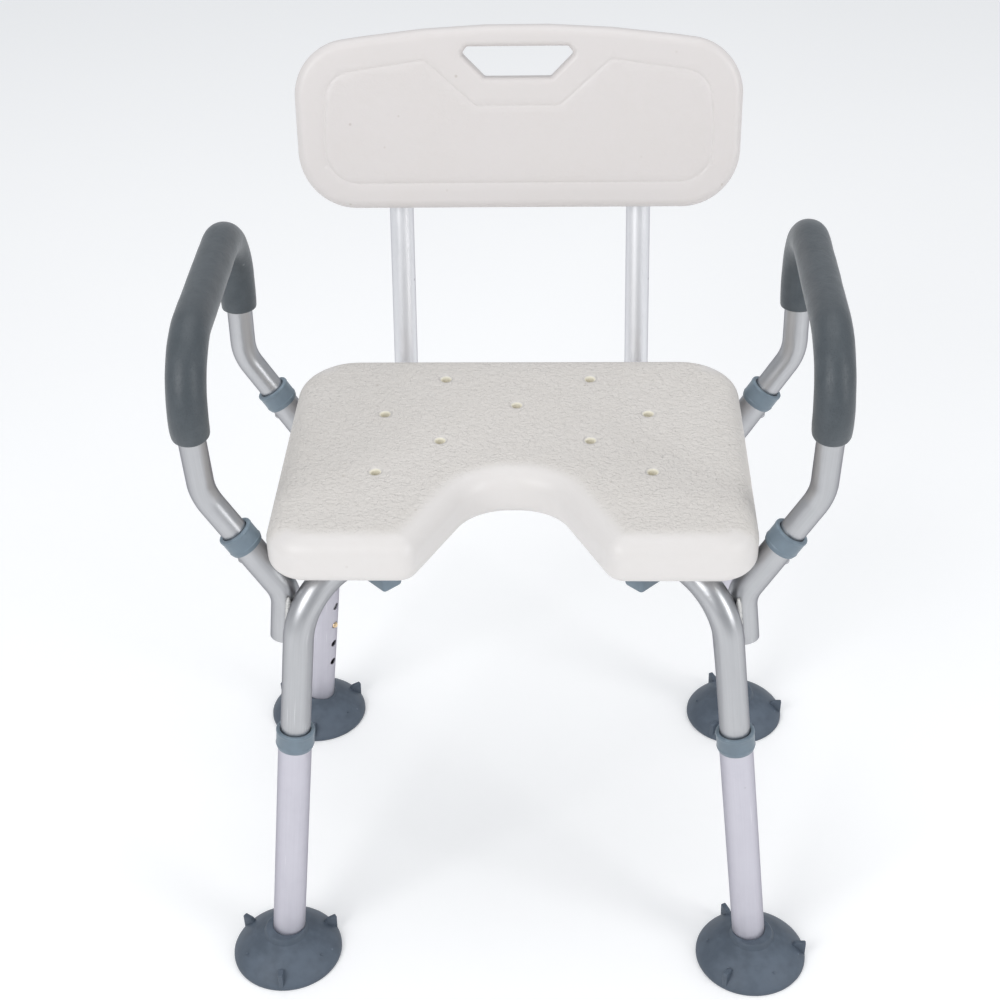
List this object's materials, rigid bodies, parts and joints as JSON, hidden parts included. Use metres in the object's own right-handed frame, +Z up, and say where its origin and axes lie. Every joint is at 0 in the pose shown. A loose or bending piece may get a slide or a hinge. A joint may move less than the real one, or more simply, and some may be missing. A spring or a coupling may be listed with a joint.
{
  "type": "shower chair",
  "caption": "Shower chair: seat with a U-shaped front cut-out, tilted backrest with a handle slot, foam-padded armrests and splayed height-adjustable legs on suction feet.",
  "frame": {"origin": "on the floor, under the middle of the chair's outline", "axes": "+Z up; the sitter faces -Y, so the sitter's left is +X and the backrest is at +Y"},
  "size_m": [0.5358, 0.508, 0.7117],
  "materials": {
    "white_plastic": "blow-moulded, fine leather grain on the seat top, smooth elsewhere",
    "satin_aluminium": "satin anodised tube",
    "matte_aluminium": "matt anodised tube",
    "slate_plastic": "slate grey moulding, softly glossy",
    "slate_rubber": "slate grey soft rubber",
    "dark_foam": "closed-cell foam, matt",
    "brass": "polished",
    "bright_steel": "bright plated"
  },
  "bodies": {
    "frame": {"seat": "white_plastic", "frame_tube_front": "satin_aluminium", "frame_tube_rear": "satin_aluminium", "cross_bolt": "bright_steel", "cross_nut": "bright_steel", "saddle_clip_front_left": "slate_plastic", "saddle_screw_front_left_a": "bright_steel", "saddle_screw_front_left_b": "bright_steel", "arm_socket_front_left": "satin_aluminium", "arm_collar_front_left": "slate_plastic", "saddle_clip_front_right": "slate_plastic", "saddle_screw_front_right_a": "bright_steel", "saddle_screw_front_right_b": "bright_steel", "arm_socket_front_right": "satin_aluminium", "arm_collar_front_right": "slate_plastic", "saddle_clip_rear_left": "slate_plastic", "saddle_screw_rear_left_a": "bright_steel", "saddle_screw_rear_left_b": "bright_steel", "arm_socket_rear_left": "satin_aluminium", "arm_collar_rear_left": "slate_plastic", "saddle_clip_rear_right": "slate_plastic", "saddle_screw_rear_right_a": "bright_steel", "saddle_screw_rear_right_b": "bright_steel", "arm_socket_rear_right": "satin_aluminium", "arm_collar_rear_right": "slate_plastic", "back_receiver_left": "satin_aluminium", "back_receiver_right": "satin_aluminium"},
    "leg_front_left": {"leg_extension_front_left": "matte_aluminium", "leg_collar_front_left": "slate_plastic", "suction_foot_front_left": "slate_rubber"},
    "leg_front_right": {"leg_extension_front_right": "matte_aluminium", "leg_collar_front_right": "slate_plastic", "suction_foot_front_right": "slate_rubber"},
    "leg_rear_left": {"leg_extension_rear_left": "matte_aluminium", "leg_collar_rear_left": "slate_plastic", "suction_foot_rear_left": "slate_rubber"},
    "leg_rear_right": {"leg_extension_rear_right": "matte_aluminium", "leg_collar_rear_right": "slate_plastic", "suction_foot_rear_right": "slate_rubber"},
    "armrest_left": {"armrest_tube_left": "satin_aluminium", "armrest_grip_left": "dark_foam"},
    "armrest_right": {"armrest_tube_right": "satin_aluminium", "armrest_grip_right": "dark_foam"},
    "back": {"backrest": "white_plastic", "back_upright_left": "satin_aluminium", "back_upright_right": "satin_aluminium", "back_screw_left_lower": "bright_steel", "back_screw_left_upper": "bright_steel", "back_screw_right_lower": "bright_steel", "back_screw_right_upper": "bright_steel"},
    "leg_pin_front_left": {"leg_button_front_left": "brass"},
    "leg_pin_front_right": {"leg_button_front_right": "brass"},
    "leg_pin_rear_left": {"leg_button_rear_left": "brass"},
    "leg_pin_rear_right": {"leg_button_rear_right": "brass"},
    "arm_pin_front_left": {"arm_button_front_left": "bright_steel"},
    "arm_pin_front_right": {"arm_button_front_right": "bright_steel"},
    "arm_pin_rear_left": {"arm_button_rear_left": "bright_steel"},
    "arm_pin_rear_right": {"arm_button_rear_right": "bright_steel"},
    "back_pin_left": {"back_button_left": "bright_steel"},
    "back_pin_right": {"back_button_right": "bright_steel"}
  },
  "joints": [
    {"name": "leg_slide_front_left", "type": "slide", "parent": "frame", "child": "leg_front_left", "axis": [0.0987, -0.0946, -0.9906], "range_m": [0, 0.0762], "deforming": ["leg_button_front_left"]},
    {"name": "leg_slide_front_right", "type": "slide", "parent": "frame", "child": "leg_front_right", "axis": [-0.0987, -0.0946, -0.9906], "range_m": [0, 0.0762], "deforming": ["leg_button_front_right"]},
    {"name": "leg_slide_rear_left", "type": "slide", "parent": "frame", "child": "leg_rear_left", "axis": [0.118, 0.069, -0.9906], "range_m": [0, 0.0762], "deforming": ["leg_button_rear_left"]},
    {"name": "leg_slide_rear_right", "type": "slide", "parent": "frame", "child": "leg_rear_right", "axis": [-0.118, 0.069, -0.9906], "range_m": [0, 0.0762], "deforming": ["leg_button_rear_right"]},
    {"name": "armrest_slide_left", "type": "slide", "parent": "frame", "child": "armrest_left", "axis": [0.515, 0, 0.8572], "range_m": [0, 0.05], "deforming": ["arm_button_front_left", "arm_button_rear_left"]},
    {"name": "armrest_slide_right", "type": "slide", "parent": "frame", "child": "armrest_right", "axis": [-0.515, 0, 0.8572], "range_m": [0, 0.05], "deforming": ["arm_button_front_right", "arm_button_rear_right"]},
    {"name": "back_slide", "type": "slide", "parent": "frame", "child": "back", "axis": [0, 1, 0], "range_m": [0, 0.12], "deforming": ["back_button_left", "back_button_right"]},
    {"name": "leg_button_press_front_left", "type": "slide", "parent": "frame", "child": "leg_pin_front_left", "axis": [0.715, -0.6856, 0.1367], "range_m": [0, 0.004], "stiffness_N_per_m": 800},
    {"name": "leg_button_press_front_right", "type": "slide", "parent": "frame", "child": "leg_pin_front_right", "axis": [-0.715, -0.6856, 0.1367], "range_m": [0, 0.004], "stiffness_N_per_m": 800},
    {"name": "leg_button_press_rear_left", "type": "slide", "parent": "frame", "child": "leg_pin_rear_left", "axis": [0.8552, 0.4999, 0.1367], "range_m": [0, 0.004], "stiffness_N_per_m": 800},
    {"name": "leg_button_press_rear_right", "type": "slide", "parent": "frame", "child": "leg_pin_rear_right", "axis": [-0.8552, 0.4999, 0.1367], "range_m": [0, 0.004], "stiffness_N_per_m": 800},
    {"name": "arm_button_press_front_left", "type": "slide", "parent": "armrest_left", "child": "arm_pin_front_left", "axis": [-0.8572, 0, 0.515], "range_m": [0, 0.004], "stiffness_N_per_m": 800},
    {"name": "arm_button_press_front_right", "type": "slide", "parent": "armrest_right", "child": "arm_pin_front_right", "axis": [0.8572, 0, 0.515], "range_m": [0, 0.004], "stiffness_N_per_m": 800},
    {"name": "arm_button_press_rear_left", "type": "slide", "parent": "armrest_left", "child": "arm_pin_rear_left", "axis": [-0.8572, 0, 0.515], "range_m": [0, 0.004], "stiffness_N_per_m": 800},
    {"name": "arm_button_press_rear_right", "type": "slide", "parent": "armrest_right", "child": "arm_pin_rear_right", "axis": [0.8572, 0, 0.515], "range_m": [0, 0.004], "stiffness_N_per_m": 800},
    {"name": "back_button_press_left", "type": "slide", "parent": "back", "child": "back_pin_left", "axis": [0, 0, 1], "range_m": [0, 0.004], "stiffness_N_per_m": 800},
    {"name": "back_button_press_right", "type": "slide", "parent": "back", "child": "back_pin_right", "axis": [0, 0, 1], "range_m": [0, 0.004], "stiffness_N_per_m": 800}
  ]
}
